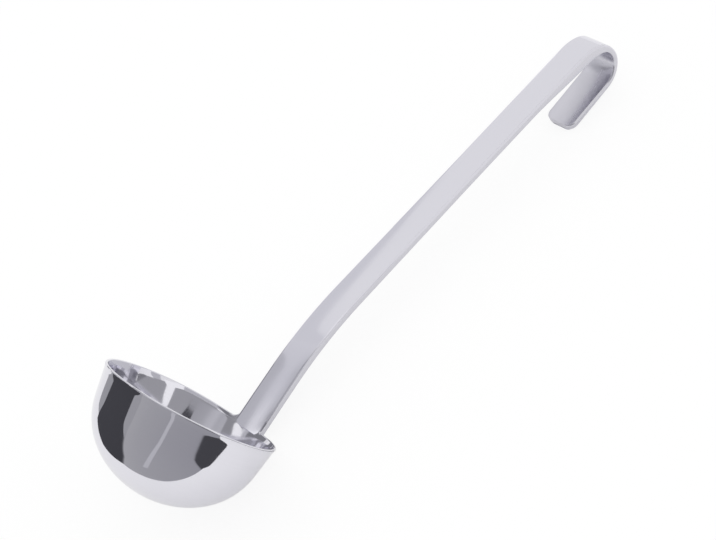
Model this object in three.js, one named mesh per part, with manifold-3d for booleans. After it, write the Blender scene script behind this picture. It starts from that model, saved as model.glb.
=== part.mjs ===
// Soup ladle of polished stainless steel: a deep drawn bowl with a flared pouring lip, and a flat bar
// handle whose foot is rebated over the rim, welded to the outside of the bowl, and whose top is bent
// into a hanging hook. Millimetres, +Z up.
//
// The pieces are drawn in the bowl's own frame: the rim lies in z = 0, the bowl opens upwards and the
// handle stands on the +X side. The ladle is then laid on a table as it comes to rest there, on the back
// of the bowl and the tip of the hook, with the table at z = 0 and the handle along +X.
import * as THREE from 'three';
import { mergeVertices } from 'three/addons/utils/BufferGeometryUtils.js';
import Module from 'manifold-3d';

const { degToRad, lerp, clamp } = THREE.MathUtils;

// Bowl
const LIP_RADIUS = 50; // outer edge of the pouring lip
const LIP_HEIGHT = 2.5; // flared band at the top of the wall
const LIP_FLARE = 0.9; // how far the lip leans out over the wall
const WALL_TAPER = degToRad(9.3); // the straight part of the wall narrows downwards
const WALL_HEIGHT = 17.4; // from the rim to where the wall starts to round
const BOWL_DEPTH = 53.5; // outside, from the rim to the bottom
const SIDE_FULLNESS = 0.69; // how long the round keeps the wall's direction
const BOTTOM_FULLNESS = 0.415; // how long it keeps to the level of the bottom
const SHEET = 1.5; // thickness of the drawn sheet

// Handle bar, measured along its front face, the one that looks into the bowl
const BAR_THICKNESS = 4.8;
const BAR_EDGE_RADIUS = 1; // rounded long edges
const FOOT_WIDTH = 19.8; // at the rim and below it
const SHANK_WIDTH = 17.7; // where the bar has narrowed, up to the hook
const TIP_WIDTH = 20.4; // from the top of the hook to its tip
const FOOT_LENGTH = 15; // tongue below the rim
const FOOT_CORNER = 6;
const TONGUE_THICKNESS = 3.6; // the tongue is ground thinner towards its end
const NARROWING_LENGTH = 177; // from the rim
const LOWER_STRAIGHT = 30.8; // from the rim to the long bend
const BEND_RADIUS = 236;
const SHANK_LEAN = degToRad(23.5); // from the bowl's axis, outwards
const SHANK_STRAIGHT = 192.7;
const SHOULDER_RADIUS = 28.7; // the hook's bend starts gently
const SHOULDER_TURN = degToRad(27.3);
const CROWN_RADIUS = 15.8; // outside of the hook's tight bend
const CROWN_TURN = degToRad(147.2);
const LEG_LENGTH = 34.3; // straight leg of the hook
const TIP_CORNER = 5.2;

// Weld metal
const WELD_GAP = 0.3; // between the bowl, the handle and the weld metal
const FILLET_RADIUS = 3.5; // hollow fillets beside the foot, on the rim
const FILLET_EDGE = 0.4; // thickness that a fillet runs out to
const BEAD_WIDTH = 2.2; // bead round the tongue
const BEAD_HEIGHT = 1.2;

// Fineness of the round shapes
const BOWL_SIDES = 64;
const DOME_STEPS = 12;
const BEND_STEP = degToRad(2);
const CROWN_STEP = degToRad(7.5);
const CORNER_STEPS = 5;
const EDGE_STEPS = 2;
const ROUND_STEPS = 6; // quarter rounds of the weld metal

const wasm = await Module();
wasm.setup();

const STEEL = { color: 0xc8c7cd, metalness: 1 };
const mirrorPolish = new THREE.MeshStandardMaterial({ ...STEEL, roughness: 0.08 });
const finePolish = new THREE.MeshStandardMaterial({ ...STEEL, roughness: 0.2 });
const groundWeld = new THREE.MeshStandardMaterial({ ...STEEL, roughness: 0.3 });

// Solids for cutting and joining. Triangles that close up on an axis have no area and are dropped.
function solidFrom(geometry) {
  const bare = geometry.clone();
  bare.deleteAttribute('normal');
  bare.deleteAttribute('uv');
  const merged = mergeVertices(bare);
  const corners = merged.index.array;
  const kept = [];
  for (let i = 0; i < corners.length; i += 3) {
    const [a, b, c] = corners.slice(i, i + 3);
    if (a !== b && b !== c && c !== a) kept.push(a, b, c);
  }
  return new wasm.Manifold(new wasm.Mesh({
    numProp: 3,
    vertProperties: merged.attributes.position.array,
    triVerts: new Uint32Array(kept),
  }));
}

function geometryFrom(solid) {
  const mesh = solid.getMesh();
  const geometry = new THREE.BufferGeometry();
  geometry.setAttribute('position', new THREE.BufferAttribute(mesh.vertProperties, 3));
  geometry.setIndex(new THREE.BufferAttribute(mesh.triVerts, 1));
  geometry.computeVertexNormals();
  return geometry;
}

// Turns a profile of (radius, height) points about the bowl's axis, with a flat side under the handle.
function turned(profile) {
  const halfSide = Math.PI / BOWL_SIDES;
  return new THREE.LatheGeometry(profile, BOWL_SIDES, halfSide).rotateX(Math.PI / 2);
}

// The bowl's outside from the bottom up to the rim, as (radius, height) points with outward normals.
function bowlOutside() {
  const down = new THREE.Vector2(-Math.sin(WALL_TAPER), -Math.cos(WALL_TAPER));
  const neckRadius = LIP_RADIUS - LIP_FLARE;
  const neck = new THREE.Vector2(neckRadius, -LIP_HEIGHT);
  const wallEnd = neck.clone().addScaledVector(down, (WALL_HEIGHT - LIP_HEIGHT) / Math.cos(WALL_TAPER));
  const roundDepth = BOWL_DEPTH - WALL_HEIGHT;
  const dome = new THREE.CubicBezierCurve(
    new THREE.Vector2(0, -BOWL_DEPTH),
    new THREE.Vector2(BOTTOM_FULLNESS * wallEnd.x, -BOWL_DEPTH),
    wallEnd.clone().addScaledVector(down, SIDE_FULLNESS * roundDepth / Math.cos(WALL_TAPER)),
    wallEnd,
  );
  const points = dome.getSpacedPoints(DOME_STEPS);
  const normals = points.map((_, i) => {
    const along = dome.getTangentAt(i / DOME_STEPS);
    return new THREE.Vector2(along.y, -along.x);
  });
  const lipAlong = new THREE.Vector2(LIP_FLARE, LIP_HEIGHT).normalize();
  points.push(neck, new THREE.Vector2(LIP_RADIUS, 0));
  normals.push(normals.at(-1), new THREE.Vector2(lipAlong.y, -lipAlong.x));
  return points.map((point, i) => ({ point, normal: normals[i] }));
}

// The outside moved along its normals, by a positive distance outwards. Its top ends level.
function bowlOffset(distance, top) {
  const moved = bowlOutside().map(({ point, normal }) => point.clone().addScaledVector(normal, distance));
  moved[0].x = 0;
  moved.at(-1).y = top;
  return moved;
}

function bowlGeometry() {
  const outside = bowlOffset(0, 0);
  const inside = bowlOffset(-SHEET, 0);
  return turned([...outside, ...inside.reverse()]);
}

// Everything that the bowl fills, with the gap that its neighbours keep to it.
function bowlBlock() {
  const skin = bowlOffset(WELD_GAP, WELD_GAP);
  return solidFrom(turned([...skin, new THREE.Vector2(0, WELD_GAP)]));
}

// The foot leans as the wall does. At its two edges its front face is flush with the inside of the lip.
const footLean = WALL_TAPER;
const footFront = Math.sqrt((LIP_RADIUS - SHEET) ** 2 - (FOOT_WIDTH / 2) ** 2);

// The bar's straight runs and bends, from the end of the foot to the tip of the hook.
const straight = (length) => ({ length, radius: Infinity, step: length });
const bend = (radius, turn, step) => ({ length: radius * turn, radius, step: radius * step });
const barRuns = [
  straight(FOOT_LENGTH + LOWER_STRAIGHT),
  bend(BEND_RADIUS, SHANK_LEAN - footLean, BEND_STEP),
  straight(SHANK_STRAIGHT),
  bend(SHOULDER_RADIUS, SHOULDER_TURN, CROWN_STEP),
  bend(CROWN_RADIUS, CROWN_TURN, CROWN_STEP),
  straight(LEG_LENGTH),
];
const runEnds = [];
barRuns.reduce((sum, run) => runEnds[runEnds.push(sum + run.length) - 1], 0);
const [, , shankEnd, crownStart, crownEnd, barLength] = runEnds;

// Where the front face is at a length along the bar, and how far it leans there from the bowl's axis.
function barPlace(along) {
  let lean = footLean;
  let x = footFront - FOOT_LENGTH * Math.sin(lean);
  let z = -FOOT_LENGTH * Math.cos(lean);
  let left = along;
  for (const { length, radius } of barRuns) {
    const part = clamp(left, 0, length);
    const turn = part / radius;
    const chord = turn > 0 ? 2 * radius * Math.sin(turn / 2) : part;
    x += chord * Math.sin(lean + turn / 2);
    z += chord * Math.cos(lean + turn / 2);
    lean += turn;
    left -= part;
  }
  return { x, z, lean };
}

// The bar narrows above the rim, widens up to the top of the hook and has rounded corners at both ends.
function barHalfWidth(along) {
  const narrowing = clamp((along - FOOT_LENGTH) / NARROWING_LENGTH, 0, 1);
  const crownMiddle = (crownStart + crownEnd) / 2;
  const widening = clamp((along - crownStart) / (crownMiddle - crownStart), 0, 1);
  const width = lerp(lerp(FOOT_WIDTH, SHANK_WIDTH, narrowing), TIP_WIDTH, widening);
  const cornerCut = (fromEnd, radius) => {
    const reach = Math.max(radius - fromEnd, 0);
    return radius - Math.sqrt(radius ** 2 - reach ** 2);
  };
  return width / 2 - cornerCut(along, FOOT_CORNER) - cornerCut(barLength - along, TIP_CORNER);
}

function barThickness(along) {
  return lerp(TONGUE_THICKNESS, BAR_THICKNESS, clamp(along / FOOT_LENGTH, 0, 1));
}

// Lengths along the bar at which its section is drawn.
function barStops() {
  const stops = [0, FOOT_LENGTH, FOOT_LENGTH + NARROWING_LENGTH, barLength];
  barRuns.forEach((run, i) => {
    const count = Math.ceil(run.length / run.step);
    for (let k = 0; k < count; k++) stops.push(runEnds[i] - (k / count) * run.length);
  });
  for (let k = 1; k <= CORNER_STEPS; k++) {
    const reach = 1 - Math.cos((k / CORNER_STEPS) * Math.PI / 2);
    stops.push(FOOT_CORNER * reach, barLength - TIP_CORNER * reach);
  }
  return [...new Set(stops)].sort((a, b) => a - b);
}

// The bar's section with rounded edges, as (across, depth) points, depth running from front to back.
function barSection(halfWidth, thickness) {
  const points = [];
  for (let corner = 0; corner < 4; corner++) {
    const side = corner === 0 || corner === 3 ? 1 : -1;
    const face = corner < 2 ? 1 : -1;
    for (let k = 0; k <= EDGE_STEPS; k++) {
      const angle = (corner + k / EDGE_STEPS) * Math.PI / 2;
      const across = side * (halfWidth - BAR_EDGE_RADIUS) + BAR_EDGE_RADIUS * Math.cos(angle);
      const middle = thickness / 2;
      const depth = middle + face * (middle - BAR_EDGE_RADIUS) + BAR_EDGE_RADIUS * Math.sin(angle);
      points.push([across, depth]);
    }
  }
  return points;
}

// A closed skin over rings of equally many points, with a flat cap at each end.
function loft(rings) {
  const count = rings[0].length;
  const faces = [];
  for (let i = 0; i + 1 < rings.length; i++) {
    for (let k = 0; k < count; k++) {
      const next = (k + 1) % count;
      const [a, b] = [i * count + k, i * count + next];
      faces.push(a, a + count, b, b, a + count, b + count);
    }
  }
  const last = (rings.length - 1) * count;
  for (let k = 1; k + 1 < count; k++) {
    faces.push(0, k, k + 1, last, last + k + 1, last + k);
  }
  const geometry = new THREE.BufferGeometry();
  geometry.setAttribute('position', new THREE.Float32BufferAttribute(rings.flat(2), 3));
  geometry.setIndex(faces);
  return geometry;
}

// The bent bar, with its foot cut back to sit over the rim and along the outside of the bowl.
function handleGeometry() {
  const rings = barStops().map((along) => {
    const { x, z, lean } = barPlace(along);
    return barSection(barHalfWidth(along), barThickness(along)).map(([across, depth]) => [
      x + depth * Math.cos(lean),
      across,
      z - depth * Math.sin(lean),
    ]);
  });
  return geometryFrom(solidFrom(loft(rings)).subtract(bowlBlock()));
}

// Hollow fillet beside the foot: it stands on the rim, leans as the foot does and is as thick as the lip.
function filletGeometry(side) {
  const foot = FOOT_WIDTH / 2 + WELD_GAP;
  const far = foot + FILLET_RADIUS;
  const top = WELD_GAP + FILLET_RADIUS;
  const outline = new THREE.Shape();
  outline.moveTo(foot, WELD_GAP);
  outline.lineTo(far, WELD_GAP);
  outline.lineTo(far, WELD_GAP + FILLET_EDGE);
  outline.absarc(far, top, FILLET_RADIUS - FILLET_EDGE, -Math.PI / 2, -Math.PI, true);
  outline.lineTo(foot, top);
  const depth = 2 * LIP_RADIUS;
  const blank = new THREE.ExtrudeGeometry(outline, { depth, bevelEnabled: false, curveSegments: ROUND_STEPS });
  blank.applyMatrix4(new THREE.Matrix4().makeBasis(
    new THREE.Vector3(0, 1, 0),
    new THREE.Vector3(0, 0, 1),
    new THREE.Vector3(1, 0, 0),
  ));
  const above = 2 * top;
  const risen = (radius, height) => new THREE.Vector2(radius + height * Math.tan(footLean), height);
  const lipAbove = turned([
    risen(LIP_RADIUS - SHEET, 0),
    risen(LIP_RADIUS, 0),
    risen(LIP_RADIUS, above),
    risen(LIP_RADIUS - SHEET, above),
    risen(LIP_RADIUS - SHEET, 0),
  ]);
  const fillet = solidFrom(blank).intersect(solidFrom(lipAbove));
  return geometryFrom(side > 0 ? fillet : fillet.mirror([0, 1, 0]));
}

// The outline of the tongue in the plane of the bar, grown all round, with the rim at zero.
function tongueOutline(grow) {
  const half = FOOT_WIDTH / 2 + grow;
  const end = -FOOT_LENGTH - grow;
  const corner = FOOT_CORNER + grow;
  const outline = new THREE.Shape();
  outline.moveTo(half, 0);
  outline.lineTo(-half, 0);
  outline.absarc(-half + corner, end + corner, corner, Math.PI, 1.5 * Math.PI);
  outline.absarc(half - corner, end + corner, corner, 1.5 * Math.PI, 2 * Math.PI);
  return outline;
}

function tongueBlock(grow) {
  const depth = 2 * LIP_RADIUS;
  const outline = tongueOutline(grow);
  const block = new THREE.ExtrudeGeometry(outline, { depth, bevelEnabled: false, curveSegments: ROUND_STEPS });
  const across = new THREE.Vector3(0, 1, 0);
  const along = new THREE.Vector3(Math.sin(footLean), 0, Math.cos(footLean));
  const outwards = new THREE.Vector3().crossVectors(across, along);
  const place = new THREE.Matrix4().makeBasis(across, along, outwards);
  return solidFrom(block.applyMatrix4(place.setPosition(footFront - BAR_THICKNESS, 0, 0)));
}

// Bead round the tongue: it lies on the outside of the bowl and starts under the lip.
function beadGeometry() {
  const underLip = (points) => points.slice(0, -1);
  const inner = underLip(bowlOffset(WELD_GAP, 0));
  const outer = underLip(bowlOffset(WELD_GAP + BEAD_HEIGHT, 0));
  const layer = solidFrom(turned([...outer, ...inner.reverse()]));
  const ring = tongueBlock(WELD_GAP + BEAD_WIDTH).subtract(tongueBlock(WELD_GAP));
  return geometryFrom(layer.intersect(ring));
}

// The turn about Y that lays the ladle down, so that its two ends, parted at mid-shank, touch the table.
function restTurn(meshes) {
  const midShank = barPlace(shankEnd - SHANK_STRAIGHT / 2).z;
  const [bowlEnd, hookEnd] = [[], []];
  for (const { geometry } of meshes) {
    const { array } = geometry.attributes.position;
    for (let i = 0; i < array.length; i += 3) {
      const [x, , z] = array.slice(i, i + 3);
      (z < midShank ? bowlEnd : hookEnd).push([x, z]);
    }
  }
  const lowest = (points, turn) => points.reduce(
    (low, [x, z]) => Math.min(low, z * Math.cos(turn) - x * Math.sin(turn)),
    Infinity,
  );
  const closeEnough = 1e-9;
  let [low, high] = [0, Math.PI / 2];
  while (high - low > closeEnough) {
    const middle = (low + high) / 2;
    if (lowest(bowlEnd, middle) < lowest(hookEnd, middle)) low = middle;
    else high = middle;
  }
  return low;
}

function piece(name, geometry, material) {
  const mesh = new THREE.Mesh(geometry, material);
  mesh.name = name;
  return mesh;
}

const lying = new THREE.Group();
lying.add(
  piece('bowl', bowlGeometry(), mirrorPolish),
  piece('handle', handleGeometry(), finePolish),
  piece('weld_fillet_left', filletGeometry(1), groundWeld),
  piece('weld_fillet_right', filletGeometry(-1), groundWeld.clone()),
  piece('weld_bead', beadGeometry(), groundWeld.clone()),
);
lying.rotation.y = restTurn(lying.children);

// The origin is on the table, under the middle of the ladle.
const ladle = new THREE.Group();
ladle.add(lying);
const box = new THREE.Box3().setFromObject(ladle, true);
const middle = box.getCenter(new THREE.Vector3());
lying.position.set(-middle.x, -middle.y, -box.min.z);

export default ladle;
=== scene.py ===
# Soup ladle of polished stainless steel. It lies on a pale table, on the back of its bowl and the tip of
# its hook.
import math

import bmesh
import bpy
from mathutils import Matrix, Vector
from mathutils.geometry import interpolate_bezier


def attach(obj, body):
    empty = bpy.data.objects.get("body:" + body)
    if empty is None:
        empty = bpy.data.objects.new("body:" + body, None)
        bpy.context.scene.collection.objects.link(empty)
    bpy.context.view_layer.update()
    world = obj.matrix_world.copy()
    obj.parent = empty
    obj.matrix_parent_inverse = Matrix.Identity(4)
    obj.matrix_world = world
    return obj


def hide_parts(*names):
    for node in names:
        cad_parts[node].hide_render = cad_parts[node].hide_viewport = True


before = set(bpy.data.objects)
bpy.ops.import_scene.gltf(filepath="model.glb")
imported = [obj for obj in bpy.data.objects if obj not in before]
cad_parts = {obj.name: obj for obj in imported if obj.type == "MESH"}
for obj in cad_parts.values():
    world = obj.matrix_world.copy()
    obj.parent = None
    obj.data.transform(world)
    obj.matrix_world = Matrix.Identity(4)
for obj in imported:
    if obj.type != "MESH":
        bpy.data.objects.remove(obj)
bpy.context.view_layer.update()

# Sizes in millimetres, with the main ones as in the CAD model. In the bowl's own frame the rim lies in
# z = 0, the bowl opens upwards and the handle stands on the +X side.
MM = 0.001
LIP_RADIUS = 50
LIP_HEIGHT = 2.5
LIP_FLARE = 0.9
WALL_TAPER = math.radians(9.3)
WALL_HEIGHT = 17.4
BOWL_DEPTH = 53.5
SIDE_FULLNESS = 0.69
BOTTOM_FULLNESS = 0.415
SHEET = 1.5
RIM_ROUND = 0.7  # the polished edge of the sheet
RIM_DIP = 1.1  # the weld draws the rim down beside the handle
DIP_REACH = math.radians(65)

BAR_THICKNESS = 4.8
TONGUE_THICKNESS = 3.6  # the tongue is ground thinner towards its end
BAR_EDGE_RADIUS = 1
BAR_CROWN = 0.12  # the belt leaves the faces a little lower along their edges
HOOK_CROWN = 0.3  # and the inside of the hook rounder still
HOOK_FALL = 1.5  # which falls away to its right-hand edge, most at the end of the crown
TIP_FALL = 0.5
FOOT_WIDTH = 19.8
SHANK_WIDTH = 17.7
TIP_WIDTH = 20.4
FOOT_LENGTH = 15
FOOT_CORNER = 6
NARROWING_LENGTH = 177
SPREAD_LENGTH = 60  # the bend spreads the back of the bar before it spreads the front
ROOT_SWELL = 1.5  # and thickens the bar at the root of the hook
ROOT_RISE = 45
ROOT_FALL = 24
LOWER_STRAIGHT = 30.8
BEND_RADIUS = 236
SHANK_LEAN = math.radians(23.5)
SHANK_STRAIGHT = 192.7
SHOULDER_RADIUS = 28.7
SHOULDER_TURN = math.radians(27.3)
CROWN_RADIUS = 15.8
CROWN_TURN = math.radians(147.2)
LEG_LENGTH = 34.3
TIP_CORNER = 5.2

FUSED = 3.3  # how far below the rim the flat foot is ground into the lip
FUSE_STEP = 0.05  # a second cut, this far above the first, keeps the step to the tongue crisp
LIP_TURN = 8  # height over which the flare of the lip turns into the lean of the bar
WELD_SKIN = 0.06  # the fillets stand this proud of the lip's inside
LEFT_FILLET = 4.5
RIGHT_FILLET = 1.6
FILLET_SINK = 0.4  # the fillet's round ends inside the rounded edge of the bar
FILLET_LAND = 0.2  # flat left on top of the fillet, inside the bar
FILLET_TAIL = 1  # the fillet runs on under the rim past its round
BEAD_WIDTH = 2.4
BEAD_HEIGHT = 1.1
BEAD_START = 3.4  # below the rim, under the lip
BEAD_END = 2  # length over which its ends are rounded off
BEAD_END_FALL = 0.98  # how nearly they come to a point
BEAD_LAP = 0.5  # how far it runs onto the rounded edge of the tongue
BEAD_SINK = 0.3  # and into the bowl
RIPPLE = 1.6
RIPPLE_DEPTH = 0.14  # share of the bead's height
RIPPLE_BOW = 0.4  # share of a ripple by which its sides trail

# How finely the pieces are cut
BOWL_STEPS = 224
BOTTOM_POINTS = 44
LIP_POINTS = 12
WALL_ROWS = (12, 9, 6, 3.5)  # heights below the neck
NECK_ROW = 2  # and where the round of the neck begins
ROUND_SEGMENTS = 5
QUARTER_ANGLES = range(9, 91, 9)  # cuts of the round corners of the bar, in degrees
BAR_LINES = (-0.9, 0.95, 0.1)  # first line, end and step of the cuts along the bar, in half widths
FILLET_ROUND_STEPS = 16
FILLET_GRID = 0.5
FILLET_LAST = 0.9  # the last cut lies before this, past the fillet's round
BEAD_STEP = 0.2
BEAD_LINES = (-0.95, -0.8, -0.6, -0.3, 0, 0.3, 0.6, 0.8, 0.95)  # in half widths of the bead
CORNER = math.radians(60)  # an edge that turns more than this is a corner to be rounded
SHARP = math.radians(35)  # and one that turns more than this is shaded as sharp
SAME_PLACE = 0.001  # points nearer than this are one
CUT_TOLERANCE = 1e-5
ALONG = (1, 0, 0)
ACROSS = (0, 1, 0)

# How the ladle lies: the bowl's frame is turned about Y, and the middle of its rim is here, in metres.
LYING_TURN = math.radians(63.63632)
RIM_CENTRE = Vector((-0.134813, 0, 0.051322))
LAID = Matrix.Translation(RIM_CENTRE) @ Matrix.Rotation(LYING_TURN, 4, "Y") @ Matrix.Scale(MM, 4)


def new_object(name, mesh_data, material):
    mesh = bpy.data.meshes.new(name)
    mesh_data.to_mesh(mesh)
    mesh_data.free()
    mesh.materials.append(material)
    made = bpy.data.objects.new(name, mesh)
    bpy.context.scene.collection.objects.link(made)
    return made


def finished_piece(name, mesh_data, material, node):
    """Lays a mesh drawn in the bowl's frame on the table, as the piece that stands for a CAD node."""
    mesh_data.transform(LAID)
    mesh_data.normal_update()
    for face in mesh_data.faces:
        face.smooth = True
    for edge in mesh_data.edges:
        edge.smooth = edge.calc_face_angle() < SHARP
    piece = new_object(name, mesh_data, material)
    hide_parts(node)
    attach(piece, "root")


def share(value, start, end):
    """How far a value is on its way from a start to an end, from 0 to 1."""
    return min(max((value - start) / (end - start), 0), 1)


def eased(value, start, end):
    """The same, with a soft start and a soft end."""
    part = share(value, start, end)
    return part ** 2 * (3 - 2 * part)


def spaced(start, end, step):
    """Places from a start on, evenly spaced, no more than a step apart. The end itself is left out."""
    count = math.ceil((end - start) / step)
    return [start + (end - start) * i / count for i in range(count)]


def straight_block(start, end, bottom, top):
    """A block along X with a half width of 1, from which a bar is cut."""
    block = bmesh.new()
    bmesh.ops.create_cube(block, size=1)
    bmesh.ops.translate(block, verts=block.verts, vec=(0.5, 0, 0.5))
    bmesh.ops.scale(block, verts=block.verts, vec=(end - start, 2, top - bottom))
    bmesh.ops.translate(block, verts=block.verts, vec=(start, 0, bottom))
    return block


def cut(mesh_data, place, normal):
    """Cuts all faces along a plane, and keeps both sides."""
    whole = mesh_data.verts[:] + mesh_data.edges[:] + mesh_data.faces[:]
    bmesh.ops.bisect_plane(mesh_data, geom=whole, dist=CUT_TOLERANCE, plane_co=place, plane_no=normal)


def round_off(mesh_data, edges, radius):
    bmesh.ops.bevel(
        mesh_data, geom=edges, offset=radius, offset_type="OFFSET", affect="EDGES",
        segments=ROUND_SEGMENTS, profile=0.5, material=-1,
    )


# Bowl: a drawn sheet with a straight tapered wall, a deep round bottom and a flared lip.
TAPER_DOWN = Vector((-math.sin(WALL_TAPER), 0, -math.cos(WALL_TAPER)))
NECK = Vector((LIP_RADIUS - LIP_FLARE, 0, -LIP_HEIGHT))


def down_the_wall(height):
    """Point of the straight wall's outside, at a height below the neck."""
    return NECK + TAPER_DOWN * height / math.cos(WALL_TAPER)


def outside_radius(z):
    """Outer radius of the wall and of the lip."""
    if z > -LIP_HEIGHT:
        return NECK.x + LIP_FLARE * (z + LIP_HEIGHT) / LIP_HEIGHT
    return NECK.x + (z + LIP_HEIGHT) * math.tan(WALL_TAPER)


def rim_dip(point):
    """How far the rim and the wall under it are drawn down, at a point beside the handle."""
    turn = min(abs(math.atan2(point.y, point.x)) / DIP_REACH, 1)
    depth = min(max(-point.z / WALL_HEIGHT, 0), 1)
    return RIM_DIP * (0.5 + 0.5 * math.cos(math.pi * turn)) * (1 - depth) ** 2


def bowl_profile():
    """The outside of the bowl, from the middle of its bottom up to the lip."""
    bottom = Vector((0, 0, -BOWL_DEPTH))
    wall_end = down_the_wall(WALL_HEIGHT - LIP_HEIGHT)
    round_depth = BOWL_DEPTH - WALL_HEIGHT
    profile = interpolate_bezier(
        bottom,
        bottom + Vector((BOTTOM_FULLNESS * wall_end.x, 0, 0)),
        wall_end + TAPER_DOWN * SIDE_FULLNESS * round_depth / math.cos(WALL_TAPER),
        wall_end,
        BOTTOM_POINTS,
    )
    profile += [down_the_wall(height) for height in WALL_ROWS]
    lip = Vector((LIP_RADIUS, 0, 0))
    return profile + interpolate_bezier(down_the_wall(NECK_ROW), NECK, NECK, lip, LIP_POINTS)


def drawn_bowl():
    """The profile spun to a shell and given the sheet's thickness. It notes which side is the inside."""
    bowl = bmesh.new()
    line = [bowl.verts.new(point) for point in bowl_profile()]
    for lower, upper in zip(line, line[1:]):
        bowl.edges.new((lower, upper))
    bmesh.ops.spin(
        bowl, geom=bowl.verts[:] + bowl.edges[:], axis=(0, 0, 1), cent=(0, 0, 0),
        angle=math.tau, steps=BOWL_STEPS, use_merge=True,
    )
    bmesh.ops.remove_doubles(bowl, verts=bowl.verts, dist=SAME_PLACE)
    bmesh.ops.recalc_face_normals(bowl, faces=bowl.faces)
    bmesh.ops.solidify(bowl, geom=bowl.faces[:], thickness=SHEET)
    rim = [edge for edge in bowl.edges if edge.is_manifold and edge.calc_face_angle() > CORNER]
    round_off(bowl, rim, RIM_ROUND)
    bowl.normal_update()
    inside = bowl.verts.layers.float.new("inside")
    middle = Vector((0, 0, -WALL_HEIGHT))
    for vert in bowl.verts:
        vert[inside] = 1 if vert.normal.dot(vert.co - middle) < 0 else 0
        vert.co.z -= rim_dip(vert.co)
    return bowl


# Handle: the bar is shaped flat, as a strip along X with its front face up, and then bent.
BEND_END = LOWER_STRAIGHT + BEND_RADIUS * (SHANK_LEAN - WALL_TAPER)
SHANK_END = BEND_END + SHANK_STRAIGHT
CROWN_START = SHANK_END + SHOULDER_RADIUS * SHOULDER_TURN
CROWN_END = CROWN_START + CROWN_RADIUS * CROWN_TURN
BAR_END = CROWN_END + LEG_LENGTH
HOOK_TOP = (CROWN_START + CROWN_END) / 2
# Where each run of the bar ends, and the radius it is bent to on its front face.
BAR_RUNS = (
    (LOWER_STRAIGHT, math.inf), (BEND_END, BEND_RADIUS), (SHANK_END, math.inf),
    (CROWN_START, SHOULDER_RADIUS), (CROWN_END, CROWN_RADIUS), (BAR_END, math.inf),
)
FOOT_FRONT = math.sqrt((LIP_RADIUS - SHEET) ** 2 - (FOOT_WIDTH / 2) ** 2)


def bar_place(along):
    """Where the front face is at a length from the rim along the bar, and how far it leans there."""
    x, z, lean, start = FOOT_FRONT, 0, WALL_TAPER, 0
    for end, radius in BAR_RUNS:
        length = min(along, end) - start
        turn = length / radius
        chord = 2 * radius * math.sin(turn / 2) if turn else length
        x += chord * math.sin(lean + turn / 2)
        z += chord * math.cos(lean + turn / 2)
        lean += turn
        start = end
        if along <= end:
            break
    return Vector((x, 0, z)), lean


def bar_width(along, at_back):
    """The bar narrows above the rim and widens again: its front over the hook, its back before the hook."""
    start, end = (CROWN_START - SPREAD_LENGTH, CROWN_START) if at_back else (CROWN_START, HOOK_TOP)
    narrowed = (SHANK_WIDTH - FOOT_WIDTH) * share(along, 0, NARROWING_LENGTH)
    return FOOT_WIDTH + narrowed + (TIP_WIDTH - SHANK_WIDTH) * eased(along, start, end)


def rounded_half_width(along, at_back):
    """Half the bar's width, with the round corners at both of its ends."""
    half = bar_width(along, at_back) / 2
    for from_end, radius in ((along + FOOT_LENGTH, FOOT_CORNER), (BAR_END - along, TIP_CORNER)):
        reach = min(max(radius - from_end, 0), radius)
        half -= radius - math.sqrt(radius ** 2 - reach ** 2)
    return half


def bar_stops():
    """Lengths along the bar at which the strip is cut, close together where it is bent or rounded."""
    quarter = [1 - math.cos(math.radians(angle)) for angle in QUARTER_ANGLES]
    runs = (
        # start, end and step
        (FOOT_CORNER - FOOT_LENGTH, -FUSED, 1.2),
        (-FUSED, FUSE_STEP - FUSED, FUSE_STEP),
        (FUSE_STEP - FUSED, LOWER_STRAIGHT, 2),
        (LOWER_STRAIGHT, BEND_END, 1.5),
        (BEND_END, SHANK_END, 5),
        (SHANK_END, CROWN_START, 1),
        (CROWN_START, CROWN_END, 0.6),
        (CROWN_END, BAR_END - TIP_CORNER, 2),
    )
    stops = [FOOT_CORNER * part - FOOT_LENGTH for part in quarter]
    for run in runs:
        stops += spaced(*run)
    return stops + [BAR_END - TIP_CORNER * part for part in quarter]


def lip_inside(z, across):
    """How far out the skin of the weld is, on the inside of the lip. It turns into the lean of the bar."""
    flare = LIP_FLARE / LIP_HEIGHT
    rise = z + RIM_DIP + LIP_HEIGHT
    turned = share(rise, 0, LIP_TURN)
    steeper = (math.tan(WALL_TAPER) - flare) * (LIP_TURN * turned ** 2 / 2 + max(rise - LIP_TURN, 0))
    inside = NECK.x - SHEET * math.hypot(1, flare) - WELD_SKIN + flare * rise + steeper
    return math.sqrt(inside ** 2 - across ** 2)


def bent(point):
    """Moves a point of the flat bar, given by its length, place across and depth, onto the ladle."""
    along, across, depth = point.x, point.y, -point.z / BAR_THICKNESS
    front, lean = bar_place(along)
    thickness = BAR_THICKNESS + (TONGUE_THICKNESS - BAR_THICKNESS) * share(-along, 0, FOOT_LENGTH)
    place = front + depth * thickness * Vector((math.cos(lean), 0, -math.sin(lean)))
    if along < -FUSED:
        # the tongue lies on the outside of the bowl
        skin = math.sqrt(outside_radius(front.z) ** 2 - across ** 2)
        place.x += (skin - front.x) * (1 - depth)
    place.y = across
    return place


def on_lip(point):
    """Lays a point of a fillet, given in the same way, against the round of the lip."""
    along, across, depth = point.x, point.y, -point.z
    height = bar_place(along)[0].z
    return Vector((lip_inside(height, across) + depth, across, height))


def shaped(strip, place_of):
    """Bends a flat strip. It keeps its flat places in metres, for the polishing lines, and its depth, which
    sets where the bar is ground and where its back is given painted shade.
    """
    flat = strip.loops.layers.uv.new("strip")
    depth = strip.verts.layers.float.new("depth")
    for face in strip.faces:
        for corner in face.loops:
            place = corner.vert.co
            corner[flat].uv = (place.x * MM, (place.y - place.z) * MM)
    for vert in strip.verts:
        vert[depth] = -vert.co.z / BAR_THICKNESS
        vert.co = place_of(vert.co)
    return strip


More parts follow.
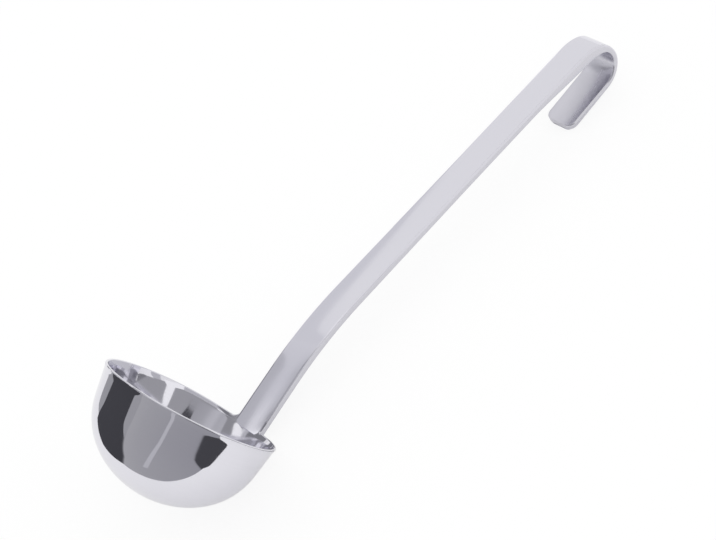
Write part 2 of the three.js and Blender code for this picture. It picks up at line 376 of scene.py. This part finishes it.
def back_rise(along, across):
    """How far the back of the bar is rounded off inside the hook, less the swelling at the hook's root."""
    fall = HOOK_FALL + (TIP_FALL - HOOK_FALL) * share(along, CROWN_END, BAR_END)
    rounded = HOOK_CROWN * across ** 4 + fall * ((1 - across) / 2) ** 2
    swell = eased(along, SHANK_END - ROOT_RISE, SHANK_END) - eased(along, SHANK_END, SHANK_END + ROOT_FALL)
    return rounded * share(along, CROWN_START, HOOK_TOP) - ROOT_SWELL * swell


def flat_bar():
    """The bar before it is bent, with its widths, its crowned faces and its rounded edges."""
    strip = straight_block(-FOOT_LENGTH, BAR_END, -BAR_THICKNESS, 0)
    for stop in bar_stops():
        cut(strip, (stop, 0, 0), ALONG)
    for line in spaced(*BAR_LINES):
        cut(strip, (0, line, 0), ACROSS)
    for vert in strip.verts:
        along = vert.co.x
        at_back = vert.co.z < -BAR_THICKNESS / 2
        vert.co.y *= rounded_half_width(along, at_back)
        across = vert.co.y / (bar_width(along, at_back) / 2)
        lowered = BAR_CROWN * across ** 2
        vert.co.z += (lowered + back_rise(along, across)) if at_back else -lowered
    strip.normal_update()
    outline = [edge for edge in strip.edges if edge.calc_face_angle() > CORNER]
    round_off(strip, outline, BAR_EDGE_RADIUS)
    return strip


def hollow_fillet(side, radius):
    """Ground weld beside the foot: it stands on the rim and runs out along it in a hollow round."""
    fillet = bmesh.new()
    inner = FOOT_WIDTH / 2 - BAR_EDGE_RADIUS - FILLET_SINK
    far = FOOT_WIDTH / 2 - FILLET_SINK + radius
    rim = -rim_dip(Vector((FOOT_FRONT, far, 0)))
    centre = Vector((rim + radius, far))
    start = fillet.verts.new((rim, far, 0))
    bmesh.ops.spin(
        fillet, geom=[start], axis=(0, 0, 1), cent=(*centre, 0),
        angle=math.pi / 2, steps=FILLET_ROUND_STEPS,
    )
    hollow = sorted(fillet.verts, key=lambda vert: vert.co.x)
    top = centre.x + radius
    corners = [(top, inner + FILLET_LAND), (top, inner), (-FUSED, inner), (-FUSED, far + FILLET_TAIL)]
    face = fillet.faces.new(hollow + [fillet.verts.new((*corner, 0)) for corner in corners])
    deep = bmesh.ops.extrude_face_region(fillet, geom=[face])
    back = [part for part in deep["geom"] if isinstance(part, bmesh.types.BMVert)]
    bmesh.ops.translate(fillet, verts=back, vec=(0, 0, -SHEET))
    bmesh.ops.recalc_face_normals(fillet, faces=fillet.faces)
    round_edges = [
        edge for edge in fillet.edges
        if abs(edge.verts[0].co.z - edge.verts[1].co.z) < SAME_PLACE
        and all((vert.co.xy - centre).length < radius + 10 * SAME_PLACE for vert in edge.verts)
    ]
    round_off(fillet, round_edges, RIM_ROUND)
    for across in spaced(inner + FILLET_GRID, far + FILLET_LAST, FILLET_GRID):
        cut(fillet, (0, across, 0), ACROSS)
    for along in spaced(-FUSED + FILLET_GRID, top, FILLET_GRID):
        cut(fillet, (along, 0, 0), ALONG)
    if side < 0:
        bmesh.ops.scale(fillet, verts=fillet.verts, vec=(1, -1, 1))
        bmesh.ops.reverse_faces(fillet, faces=fillet.faces)
    return fillet


# Bead: it runs down one side of the tongue, round its end and up the other side.
BEAD_OFFSET = BEAD_WIDTH / 2 - BEAD_LAP
BEAD_TURN = FOOT_CORNER + BEAD_OFFSET
BEAD_SIDE = FOOT_LENGTH - FOOT_CORNER - BEAD_START
BEAD_CORNER = BEAD_TURN * math.pi / 2
BEAD_BOTTOM = FOOT_WIDTH - 2 * FOOT_CORNER
BEAD_LENGTH = 2 * (BEAD_SIDE + BEAD_CORNER) + BEAD_BOTTOM


def bead_place(run, outwards):
    """Place along and across the bar, at a length along the bead and a distance out from its middle."""
    from_middle = run - BEAD_LENGTH / 2
    side = math.copysign(1, from_middle)
    left = abs(from_middle) - BEAD_BOTTOM / 2
    turn = share(left, 0, BEAD_CORNER) * math.pi / 2
    radius = BEAD_TURN + outwards
    along = FOOT_CORNER - FOOT_LENGTH - radius * math.cos(turn) + max(left - BEAD_CORNER, 0)
    across = BEAD_BOTTOM / 2 + min(left, 0) + radius * math.sin(turn)
    return along, side * across


def rippled_bead():
    """Weld round the tongue: a half round run with the ripples of the weld pool. It is drawn as a straight
    bar, with its half width and its height as 1, and laid round the tongue."""
    bead = straight_block(0, BEAD_LENGTH, 0, 1)
    for run in spaced(BEAD_STEP, BEAD_LENGTH, BEAD_STEP):
        cut(bead, (run, 0, 0), ALONG)
    for line in BEAD_LINES:
        cut(bead, (0, line, 0), ACROSS)
    for vert in bead.verts:
        run, outwards, top = vert.co
        to_end = 1 - share(min(run, BEAD_LENGTH - run), 0, BEAD_END)
        size = math.sqrt(1 - BEAD_END_FALL * to_end ** 2)
        along, across = bead_place(run, outwards * size * BEAD_WIDTH / 2)
        pool = abs(math.sin(math.pi * (run / RIPPLE + RIPPLE_BOW * outwards ** 2)))
        height = BEAD_HEIGHT * size * math.sqrt(1 - outwards ** 2) * (1 - RIPPLE_DEPTH * pool)
        z = bar_place(along)[0].z
        radius = outside_radius(z) + (height if top else -BEAD_SINK)
        vert.co = (math.sqrt(radius ** 2 - across ** 2), across, z)
    return bead


# Materials
def colour(hex_code):
    """An sRGB hex value as a linear colour."""
    channels = [int(hex_code[i:i + 2], 16) / 255 for i in (1, 3, 5)]
    return (*[c / 12.92 if c <= 0.04045 else ((c + 0.055) / 1.055) ** 2.4 for c in channels], 1)


def add(tree, kind, inputs=(), **settings):
    """Adds a node with its settings. Each input is given a value or linked to another node's output. A Mix
    node takes its two colours at 6 and 7."""
    made = tree.nodes.new(kind)
    for name, value in settings.items():
        setattr(made, name, value)
    for socket, value in dict(inputs).items():
        if isinstance(value, bpy.types.NodeSocket):
            tree.links.new(value, made.inputs[socket])
        else:
            made.inputs[socket].default_value = value
    return made


def new_material(name):
    material = bpy.data.materials.new(name)
    material.use_nodes = True
    material.node_tree.nodes.clear()
    return material, material.node_tree


def mirror_polished_steel():
    """Stainless sheet, drawn and buffed to a mirror on a turning chuck. It gives sharp reflections with a
    faint haze in rings round the bowl, and they waver a little because drawn sheet is never quite even. The
    inside, which a mop reaches less well, is a little softer."""
    material, tree = new_material("mirror polished stainless steel")
    place = add(tree, "ShaderNodeTexCoord").outputs["Object"]
    inside = add(tree, "ShaderNodeAttribute", attribute_name="inside").outputs["Fac"]
    in_bowl = add(tree, "ShaderNodeMapping", {
        "Vector": place, "Location": RIM_CENTRE, "Rotation": (0, LYING_TURN, 0), "Scale": (MM, MM, MM),
    }, vector_type="TEXTURE").outputs[0]
    flat = add(tree, "ShaderNodeVectorMath", {0: in_bowl, 1: (1, 1, 0)}, operation="MULTIPLY").outputs[0]
    radius = add(tree, "ShaderNodeVectorMath", {0: flat}, operation="LENGTH").outputs["Value"]
    height = add(tree, "ShaderNodeSeparateXYZ", {0: in_bowl}).outputs["Z"]
    on_lathe = add(tree, "ShaderNodeCombineXYZ", {0: radius, 1: height}).outputs[0]
    # buffing rings are some 0.05 mm apart, drawn 1 mm apart to show
    rings = add(tree, "ShaderNodeTexNoise", {"Vector": on_lathe, "Scale": 1, "Detail": 2}).outputs["Fac"]
    # the haze changes over 30 mm, and the sheet's waves are 14 mm long
    haze = add(tree, "ShaderNodeTexNoise", {
        "Vector": in_bowl, "Scale": 1 / 30, "Detail": 2,
    }).outputs["Fac"]
    waves = add(tree, "ShaderNodeTexNoise", {
        "Vector": in_bowl, "Scale": 1 / 14, "Detail": 0,
    }).outputs["Fac"]
    dull = add(tree, "ShaderNodeMath", {0: rings, 1: 0.5, 2: haze}, operation="MULTIPLY_ADD").outputs[0]
    roughness = add(tree, "ShaderNodeMapRange", {
        "Value": dull, "From Min": 0.5, "From Max": 1, "To Min": 0.03, "To Max": 0.075,
    }).outputs[0]
    softened = add(tree, "ShaderNodeMath", {
        0: inside, 1: 0.02, 2: roughness,
    }, operation="MULTIPLY_ADD").outputs[0]
    tone = add(tree, "ShaderNodeMix", {
        0: dull, 6: colour("#EAE9F0"), 7: colour("#E4E3EA"),
    }, data_type="RGBA").outputs[2]
    wavy = add(tree, "ShaderNodeBump", {"Height": waves, "Distance": 0.03 * MM}).outputs[0]
    surface = add(tree, "ShaderNodeBsdfPrincipled", {
        "Base Color": tone, "Metallic": 1, "Roughness": softened, "Normal": wavy,
    })
    add(tree, "ShaderNodeOutputMaterial", {"Surface": surface.outputs["BSDF"]})
    return material


def belt_polished_steel():
    """Stainless flat bar, polished along its length on a fine belt. Its front gives soft reflections with
    faint lines along it. The edges, the back and the inside of the hook are only ground, so they are
    duller. Their colour is also darker: a little on the edges, and more on the back, which lies under the
    bar and inside the hook, as painted shade."""
    material, tree = new_material("belt polished stainless steel")
    strip = add(tree, "ShaderNodeUVMap", uv_map="strip").outputs[0]
    depth = add(tree, "ShaderNodeAttribute", attribute_name="depth").outputs["Fac"]
    # belt lines are some 0.05 mm wide, drawn 0.7 mm wide to show, and 50 mm long
    drawn_out = add(tree, "ShaderNodeMapping", {
        "Vector": strip, "Scale": (1 / (50 * MM), 1 / (0.7 * MM), 1),
    }).outputs[0]
    lines = add(tree, "ShaderNodeTexNoise", {"Vector": drawn_out, "Scale": 1, "Detail": 2}).outputs["Fac"]
    # rubbed places are 15 mm across
    rubbed = add(tree, "ShaderNodeTexNoise", {
        "Vector": strip, "Scale": 1 / (15 * MM), "Detail": 2,
    }).outputs["Fac"]
    # the edges and sides: rougher, and a little darker in colour
    ground_darker_edges = add(tree, "ShaderNodeMapRange", {
        "Value": depth, "From Min": 0.04, "From Max": 0.3,
    }).outputs[0]
    # the back, under the bar and inside the hook: rougher, and darker in colour as painted shade
    unpolished_shaded_back = add(tree, "ShaderNodeMapRange", {
        "Value": depth, "From Min": 0.75, "From Max": 0.95,
    }).outputs[0]
    uneven = add(tree, "ShaderNodeMath", {0: lines, 1: 0.5, 2: rubbed}, operation="MULTIPLY_ADD").outputs[0]
    polish = add(tree, "ShaderNodeMapRange", {
        "Value": uneven, "From Min": 0.5, "From Max": 1, "To Min": 0.06, "To Max": 0.1,
    }).outputs[0]
    edges = add(tree, "ShaderNodeMath", {
        0: ground_darker_edges, 1: 0.12, 2: polish,
    }, operation="MULTIPLY_ADD").outputs[0]
    roughness = add(tree, "ShaderNodeMath", {
        0: unpolished_shaded_back, 1: 0.12, 2: edges,
    }, operation="MULTIPLY_ADD").outputs[0]
    # a little darker on the edges, and darker still on the back as painted shade
    edge_tone = add(tree, "ShaderNodeMix", {
        0: ground_darker_edges, 6: colour("#E6E5ED"), 7: colour("#D6D5DC"),
    }, data_type="RGBA").outputs[2]
    tone = add(tree, "ShaderNodeMix", {
        0: unpolished_shaded_back, 6: edge_tone, 7: colour("#D2D1D9"),
    }, data_type="RGBA").outputs[2]
    drawn = add(tree, "ShaderNodeBump", {"Height": lines, "Distance": 0.004 * MM}).outputs[0]
    surface = add(tree, "ShaderNodeBsdfPrincipled", {
        "Base Color": tone, "Metallic": 1, "Roughness": roughness, "Normal": drawn,
    })
    add(tree, "ShaderNodeOutputMaterial", {"Surface": surface.outputs["BSDF"]})
    return material


def ground_weld():
    """Stainless weld metal, ground and polished by hand. It gives blurred reflections that vary from spot
    to spot."""
    material, tree = new_material("ground stainless weld")
    place = add(tree, "ShaderNodeTexCoord").outputs["Object"]
    # marks of the hand tool, 1.5 mm across
    spots = add(tree, "ShaderNodeTexNoise", {
        "Vector": place, "Scale": 1 / (1.5 * MM), "Detail": 2,
    }).outputs["Fac"]
    roughness = add(tree, "ShaderNodeMapRange", {
        "Value": spots, "From Min": 0.3, "From Max": 0.7, "To Min": 0.1, "To Max": 0.2,
    }).outputs[0]
    tone = add(tree, "ShaderNodeMix", {
        0: spots, 6: colour("#E4E3EA"), 7: colour("#CECDD4"),
    }, data_type="RGBA").outputs[2]
    worked = add(tree, "ShaderNodeBump", {"Height": spots, "Distance": 0.02 * MM}).outputs[0]
    surface = add(tree, "ShaderNodeBsdfPrincipled", {
        "Base Color": tone, "Metallic": 1, "Roughness": roughness, "Normal": worked,
    })
    add(tree, "ShaderNodeOutputMaterial", {"Surface": surface.outputs["BSDF"]})
    return material


weld_steel = ground_weld()
finished_piece("bowl_shell", drawn_bowl(), mirror_polished_steel(), "bowl")
finished_piece("handle_bar", shaped(flat_bar(), bent), belt_polished_steel(), "handle")
for side, hand, radius in ((1, "left", LEFT_FILLET), (-1, "right", RIGHT_FILLET)):
    fillet = shaped(hollow_fillet(side, radius), on_lip)
    finished_piece(f"rim_weld_{hand}", fillet, weld_steel, f"weld_fillet_{hand}")
finished_piece("tongue_weld", rippled_bead(), weld_steel, "weld_bead")

# Studio: a white table, and glowing cards, a screen and mats that show only in the steel, where they paint
# its reflections. They are no lamps: they light nothing and cast no shadow. It is laid out in metres and
# degrees, from places on the ladle or near it.
TABLE_SIZE = 6
WHITE_TO_CAMERA = 0.84  # share of the table's colour that is plain white, to the camera
WHITE_IN_STEEL = 0.25  # and in the steel
BOWL_PLACE = Vector((-0.13, 0, 0.05))
BOWL_FOOT = Vector((-0.13, 0, 0.001))
INSIDE_PLACE = Vector((-0.13, 0.04, 0.03))
RIM_PLACE = Vector((-0.12, 0.03, 0.018))
FAR_PLACE = Vector((-0.135, 0.048, 0.051))
HEEL_PLACE = Vector((-0.12, 0.003, 0.006))
FOOT_PLACE = Vector((-0.085, 0, 0.06))
BEND_PLACE = Vector((-0.05, 0, 0.06))
SHANK_PLACE = Vector((0, 0, 0.04))
HOOK_PLACE = Vector((0.17, 0, 0.01))
LEG_PLACE = Vector((0.152, 0, 0.006))

# The glow of each card, seen only in the steel: the white ones paint highlights and the grey and dark ones
# paint darker reflections.
CARD_GLOWS = {
    "dark card": "#48484C",
    "slate card": "#828286",
    "stone card": "#969699",
    "grey card": "#A3A3A6",
    "ash card": "#C0C0C4",
    "soft edge card": "#CDCDD1",
    "pale card": "#DADADD",
    "white card": "#FFFFFF",
}
# Each card's name and glow, the place it hangs round and how far from it, and the bearings and heights of
# its corners as seen from there.
CARDS = (
    ("pale_strip", "ash card", BOWL_PLACE, 0.42, [(-143.5, 32), (-149, 32), (-181, -10), (-177, -12)]),
    ("grey_notch", "grey card", BOWL_PLACE, 0.44, [(161, 18), (152, 33), (150, 38), (164, 40)]),
    ("grey_end", "grey card", BOWL_PLACE, 0.4, [(107, -5), (107, 14), (117, 18), (117, -5)]),
    ("slate_flag", "slate card", BOWL_PLACE, 0.5, [(95, 20), (95, 37), (107, 38), (107, 20)]),
    ("grey_roof", "grey card", BOWL_PLACE, 0.5, [(78, 58), (78, 80), (108, 80), (108, 60)]),
    ("lens_hood", "dark card", BOWL_PLACE, 0.5, [
        (-116, 53), (-110.5, 53), (-107.5, 50), (-104.8, 47), (-101.8, 44), (-99.5, 41), (-97.5, 38),
        (-95.5, 35), (-94.5, 33), (-94.3, 31), (-100, 28), (-116, 40),
    ]),
    ("front_card", "grey card", INSIDE_PLACE, 0.4, [
        (-101, 8), (-101, 78), (-76, 78), (-76, 36), (-73, 8), (-73, -14), (-84, -14),
    ]),
    ("lip_card", "ash card", INSIDE_PLACE, 0.3, [
        (-73, -12), (-73, 6), (-50, 6), (-50, -20), (-62, -20), (-64, -12),
    ]),
    ("rim_card", "ash card", RIM_PLACE, 0.12, [(-77, 40), (-77, 82), (-58, 82), (-58, 40)]),
    # painted highlight: a white glowing card seen in the steel, no lamp
    ("highlight_card", "white card", INSIDE_PLACE, 0.22, [
        (-92, 20.5), (-92, 16), (-86, 11), (-80, 10.5), (-66, 11), (-66, 38), (-73, 36), (-84, 22),
        (-88, 20.5),
    ]),
    ("pale_panel", "pale card", SHANK_PLACE, 0.6, [
        (60, 20), (60, 41), (63, 42.5), (67, 44.5), (72, 46.1), (78.4, 47.7), (92.6, 49.2), (97, 49.8),
        (100, 56), (104, 56), (104, 20),
    ]),
    ("ash_panel", "ash card", FOOT_PLACE, 0.55, [
        (97, 36), (97, 40), (99, 43.3), (101, 44.5), (104.4, 44.6), (109.4, 43), (113, 42.1), (122, 41),
        (122, 36),
    ]),
    ("ash_top", "ash card", FOOT_PLACE, 0.55, [
        (96, 51.5), (106, 48.2), (111.7, 46.8), (115.5, 45.4), (119, 44.8), (119, 47.5), (106, 51.5),
        (96, 54.5),
    ]),
    ("ash_border", "soft edge card", FOOT_PLACE, 0.56, [
        (96, 50.8), (106, 47.2), (111.7, 45.7), (115.5, 44.3), (119, 43.8), (119, 47), (96, 53),
    ]),
    ("spot_card", "white card", HEEL_PLACE, 0.12, [(111, 44), (123, 44), (123, 63), (111, 63)]),
    ("heel_hood", "stone card", HEEL_PLACE, 0.3, [
        (123, 58), (146, 64), (146, 80), (110, 80), (110, 65), (123, 65),
    ]),
    ("heel_flag", "slate card", HEEL_PLACE, 0.3, [
        (78, 8), (78, 26), (84, 34), (90, 39), (98, 42), (106, 42), (106, 36), (104, 8),
    ]),
    ("toe_hood", "stone card", HEEL_PLACE, 0.31, [(108.3, 52), (108.3, 59), (112.7, 59), (112.7, 52)]),
    ("toe_flag", "slate card", HEEL_PLACE, 0.022, [(-72, 0), (-72, 48), (-55, 44), (-55, 0)]),
    ("far_hood", "slate card", FAR_PLACE, 0.12, [(-60, 56), (20, 60), (20, 80), (-60, 80)]),
    ("hook_card", "pale card", HOOK_PLACE, 0.15, [
        (118, -14), (118, 36), (140, 32), (152, 26), (162, 18), (172, 8), (172, -14),
    ]),
    ("leg_card", "white card", LEG_PLACE, 0.07, [(58, 36), (58, 53), (100, 53), (100, 36)]),
    ("top_card", "white card", BEND_PLACE, 0.5, [(bearing, 78) for bearing in range(0, 360, 30)]),
)
# Each mat's name and glow, and its outline on the table. The mats are painted shadow: grey sheets on the
# table beside and under the bowl, seen only in the steel, where the bowl's shadow falls.
SHADOW_MATS = (
    ("front_shadow_mat", "grey card", [
        (-0.115, -0.03), (-0.1, -0.03), (-0.087, -0.085), (-0.05, -0.225), (-0.02, -0.35), (-0.12, -0.35),
    ]),
    ("lip_shadow_mat", "soft edge card", [(-0.112, 0.008), (-0.084, 0.004), (-0.084, 0.068), (-0.114, 0.072)]),
)
# Where the screen folds: the bearing from the foot of the bowl, and how far off its cloth begins and rises.
SCREEN_FOLDS = (
    (117, 0.34, 0.345), (126, 0.25, 0.4), (136, 0.205, 0.43), (160, 0.22, 0.5), (175, 0.185, 0.5),
    (200, 0.157, 0.5), (220, 0.165, 0.48), (242, 0.2, 0.45), (254, 0.165, 0.45),
)
SCREEN_HEIGHT = 0.45
# painted reflection: the screen's shades by bearing round the bowl, seen only in the steel
SCREEN_SHADES = (
    (-180, "#A8A8AB"), (-150, "#A2A2A6"), (-121, "#9C9CA1"), (-120, "#48484C"), (-104, "#48484C"),
    (100, "#48484C"), (160, "#444448"), (161, "#AEAEB0"), (180, "#A8A8AB"),
)
# painted reflection: shades of the walls by bearing, which only the steel shows; the white stretches paint
# its highlights
WALL_SHADES = (
    (-180, "#B6B6BA"), (-158, "#C4C4C8"), (-140, "#BEBEC2"), (-126, "#AEAEB2"), (-104, "#A4A4A8"),
    (-101, "#BCBCC0"), (-94, "#B8B8BC"), (-89, "#F0F0F0"), (0, "#EEEEEE"), (72, "#EEEEEE"),
    (88, "#EAEAEB"), (97, "#DADADD"), (110, "#D4D4D8"), (112, "#FFFFFF"), (119, "#FFFFFF"),
    (122, "#B8B8BC"), (133, "#ACACB0"), (142, "#BCBCC0"), (180, "#B6B6BA"),
)


def stage_piece(name, mesh_data, material):
    piece = new_object(name, mesh_data, material)
    return piece


def only_in_steel(piece):
    piece.visible_camera = False
    piece.visible_diffuse = False
    piece.visible_shadow = False


def matt_white_table():
    """A matt white sheet: nearly white to the camera, a little shaded where the steel mirrors it."""
    material, tree = new_material("matt white table")
    path = add(tree, "ShaderNodeLightPath")
    in_steel = add(tree, "ShaderNodeMath", {
        0: path.outputs["Is Glossy Ray"], 1: WHITE_IN_STEEL,
    }, operation="MULTIPLY")
    seen = add(tree, "ShaderNodeMath", {
        0: path.outputs["Is Camera Ray"], 1: WHITE_TO_CAMERA, 2: in_steel.outputs[0],
    }, operation="MULTIPLY_ADD")
    matt = add(tree, "ShaderNodeBsdfDiffuse", {"Color": colour("#F4F4F4")})
    white = add(tree, "ShaderNodeEmission", {"Color": colour("#FFFFFF"), "Strength": 1.02})
    mixed = add(tree, "ShaderNodeMixShader", {0: seen.outputs[0], 1: matt.outputs[0], 2: white.outputs[0]})
    add(tree, "ShaderNodeOutputMaterial", {"Surface": mixed.outputs[0]})
    return material


def by_bearing(tree, position, stops):
    """Colours by their bearing in degrees round the upright line through a position's origin."""
    turn = add(tree, "ShaderNodeTexGradient", {"Vector": position}, gradient_type="RADIAL")
    shades = add(tree, "ShaderNodeValToRGB", {"Fac": turn.outputs["Fac"]})
    ramp = shades.color_ramp
    while len(ramp.elements) < len(stops):
        ramp.elements.new(0.5)
    for element, (bearing, hex_code) in zip(ramp.elements, stops):
        element.position = bearing / 360 + 0.5
        element.color = colour(hex_code)
    return shades.outputs["Color"]


def painted_reflection_glow(name, hex_code):
    """Glow of a card that shows only in the steel, where it paints one even shade of reflection."""
    material, tree = new_material(name)
    # painted reflection: an even glow, seen only in the steel
    glow = add(tree, "ShaderNodeEmission", {"Color": colour(hex_code)})
    add(tree, "ShaderNodeOutputMaterial", {"Surface": glow.outputs[0]})
    return material


def screen_cloth():
    """Glow of the folding screen's cloth, which shows only in the steel and paints its reflections: dark at
    both ends and grey between them.
    """
    material, tree = new_material("screen cloth")
    place = add(tree, "ShaderNodeTexCoord").outputs["Object"]
    round_bowl = add(tree, "ShaderNodeMapping", {"Vector": place, "Location": -BOWL_PLACE}).outputs[0]
    cloth = add(tree, "ShaderNodeEmission", {"Color": by_bearing(tree, round_bowl, SCREEN_SHADES)})
    add(tree, "ShaderNodeOutputMaterial", {"Surface": cloth.outputs[0]})
    return material


def seen_from(place, bearing, height, distance):
    """The point at a bearing and a height in degrees, as seen from a place."""
    bearing, height = math.radians(bearing), math.radians(height)
    flat = math.cos(height)
    return place + distance * Vector((flat * math.cos(bearing), flat * math.sin(bearing), math.sin(height)))


def flat_sheet(name, corners, material):
    """A card or a mat, with its corners in their places."""
    sheet = bmesh.new()
    sheet.faces.new([sheet.verts.new(corner) for corner in corners])
    only_in_steel(stage_piece(name, sheet, material))


def extruded_line(screen, edges):
    """Extrudes a line of edges, and gives the points of the new line."""
    grown = bmesh.ops.extrude_edge_only(screen, edges=edges)["geom"]
    return [part for part in grown if isinstance(part, bmesh.types.BMVert)]


def folding_screen():
    """Stands round the bowl's back. Its cloth lies on the table up to a line, and rises there."""
    screen = bmesh.new()
    near = [seen_from(BOWL_FOOT, bearing, 0, begins) for bearing, begins, _ in SCREEN_FOLDS]
    inner = [screen.verts.new(point) for point in near]
    outer = extruded_line(screen, [screen.edges.new(pair) for pair in zip(inner, inner[1:])])
    for vert, (bearing, _, rises) in zip(outer, SCREEN_FOLDS):
        vert.co = seen_from(BOWL_FOOT, bearing, 0, rises)
    outer_edges = [edge for edge in screen.edges if all(vert in outer for vert in edge.verts)]
    bmesh.ops.translate(screen, verts=extruded_line(screen, outer_edges), vec=(0, 0, SCREEN_HEIGHT))
    only_in_steel(stage_piece("folding_screen", screen, screen_cloth()))


def studio_world():
    """Even white light from all sides. The steel shows a room of grey and white walls instead."""
    world = bpy.data.worlds.new("studio")
    bpy.context.scene.world = world
    world.use_nodes = True
    tree = world.node_tree
    tree.nodes.clear()
    in_steel = add(tree, "ShaderNodeLightPath").outputs["Is Glossy Ray"]
    direction = add(tree, "ShaderNodeTexCoord").outputs["Generated"]
    white = add(tree, "ShaderNodeBackground", {"Color": colour("#FFFFFF"), "Strength": 1})
    walls = by_bearing(tree, direction, WALL_SHADES)
    room = add(tree, "ShaderNodeBackground", {"Color": walls, "Strength": 1})
    sky = add(tree, "ShaderNodeMixShader", {0: in_steel, 1: white.outputs[0], 2: room.outputs[0]})
    add(tree, "ShaderNodeOutputWorld", {"Surface": sky.outputs[0]})


table = bmesh.new()
bmesh.ops.create_grid(table, x_segments=1, y_segments=1, size=TABLE_SIZE)
stage_piece("table", table, matt_white_table())
folding_screen()
card_glows = {name: painted_reflection_glow(name, hex_code) for name, hex_code in CARD_GLOWS.items()}
for name, glow, place, distance, corners in CARDS:
    flat_sheet(name, [seen_from(place, *corner, distance) for corner in corners], card_glows[glow])
# the mats: painted shadow of the bowl, seen only in the steel
for name, glow, outline in SHADOW_MATS:
    flat_sheet(name, [(x, y, BOWL_FOOT.z) for x, y in outline], card_glows[glow])
studio_world()

# Camera, at the photo's viewing angle
CAMERA_PLACE = Vector((-0.337243, -0.695126, 0.804207))
CAMERA_AIM = Vector((-0.000779, 0.031142, 0))
CAMERA_ROLL = math.radians(-26.541)
camera_data = bpy.data.cameras.new("camera")
camera_data.sensor_width = 36
camera_data.lens = 100.56
camera = bpy.data.objects.new("camera", camera_data)
bpy.context.scene.collection.objects.link(camera)
towards = (CAMERA_AIM - CAMERA_PLACE).to_track_quat("-Z", "Y").to_matrix().to_4x4()
camera.matrix_world = Matrix.Translation(CAMERA_PLACE) @ towards @ Matrix.Rotation(CAMERA_ROLL, 4, "Z")
bpy.context.scene.camera = camera
bpy.context.scene.view_settings.view_transform = "Standard"
